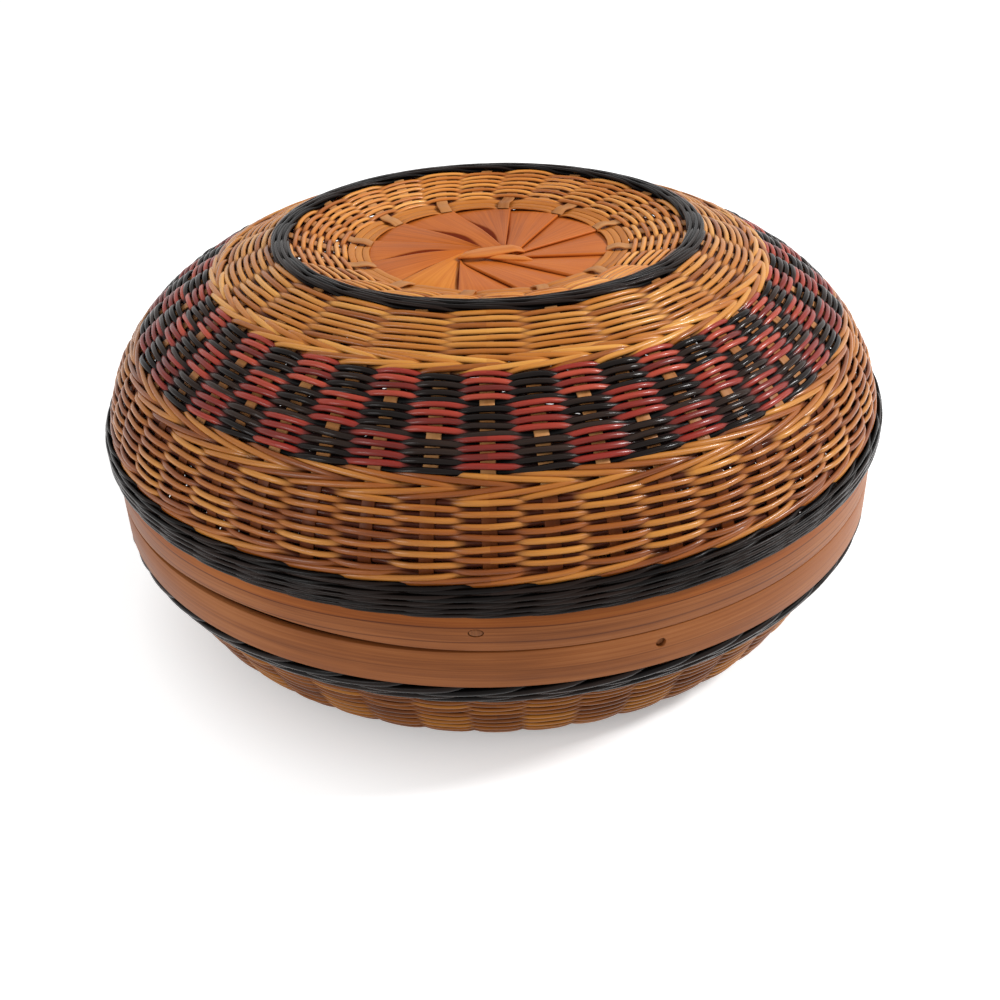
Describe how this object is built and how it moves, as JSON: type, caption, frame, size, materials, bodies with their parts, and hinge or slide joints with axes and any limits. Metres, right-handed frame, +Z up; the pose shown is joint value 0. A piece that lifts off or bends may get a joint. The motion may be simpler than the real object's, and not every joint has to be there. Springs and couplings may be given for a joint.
{
  "type": "lidded bamboo basket",
  "caption": "Round lidded bamboo and rattan basket: a domed lid with a sunk top lifts off a low woven base, for storing small things.",
  "frame": {"origin": "on the floor, under the middle of the foot", "axes": "+Z up along the basket's round axis, -Y the side that the picture shows"},
  "size_m": [0.3704, 0.3704, 0.1813],
  "materials": {
    "bamboo_splint": "satin bamboo splint, orange brown",
    "bamboo_hoop": "satin bamboo, pinkish brown, fine lengthwise grooves",
    "bamboo_peg": "satin bamboo end grain",
    "rattan_natural": "amber varnished round rattan",
    "rattan_black": "black dyed and varnished rattan",
    "rattan_checker": "red and black dyed rattan in a checker, varnished"
  },
  "bodies": {
    "base": {"base_belly_weave": "rattan_natural", "base_cane_ring": "rattan_natural", "base_edge_braid": "rattan_black", "base_floor_weave": "rattan_natural", "base_foot_braid": "rattan_black", "base_inner_hoop": "bamboo_hoop", "base_outer_hoop": "bamboo_hoop", "base_peg_1": "bamboo_peg", "base_peg_2": "bamboo_peg", "base_peg_3": "bamboo_peg", "base_splint_01": "bamboo_splint", "base_splint_02": "bamboo_splint", "base_splint_03": "bamboo_splint", "base_splint_04": "bamboo_splint", "base_splint_05": "bamboo_splint", "base_splint_06": "bamboo_splint", "base_splint_07": "bamboo_splint", "base_splint_08": "bamboo_splint", "base_splint_09": "bamboo_splint", "base_splint_10": "bamboo_splint", "base_splint_11": "bamboo_splint", "base_splint_12": "bamboo_splint"},
    "lid": {"lid_cane_ring": "rattan_natural", "lid_checker_weave": "rattan_checker", "lid_crest_braid": "rattan_black", "lid_edge_braid": "rattan_black", "lid_inner_hoop": "bamboo_hoop", "lid_lower_weave": "rattan_natural", "lid_outer_hoop": "bamboo_hoop", "lid_peg_1": "bamboo_peg", "lid_peg_2": "bamboo_peg", "lid_peg_3": "bamboo_peg", "lid_recess_weave": "rattan_natural", "lid_splint_01": "bamboo_splint", "lid_splint_02": "bamboo_splint", "lid_splint_03": "bamboo_splint", "lid_splint_04": "bamboo_splint", "lid_splint_05": "bamboo_splint", "lid_splint_06": "bamboo_splint", "lid_splint_07": "bamboo_splint", "lid_splint_08": "bamboo_splint", "lid_splint_09": "bamboo_splint", "lid_splint_10": "bamboo_splint", "lid_splint_11": "bamboo_splint", "lid_splint_12": "bamboo_splint", "lid_upper_weave": "rattan_natural"}
  },
  "joints": [
    {"name": "lid_lift", "type": "slide", "parent": "base", "child": "lid", "axis": [0, 0, 1], "range_m": [0, 0.12]}
  ]
}
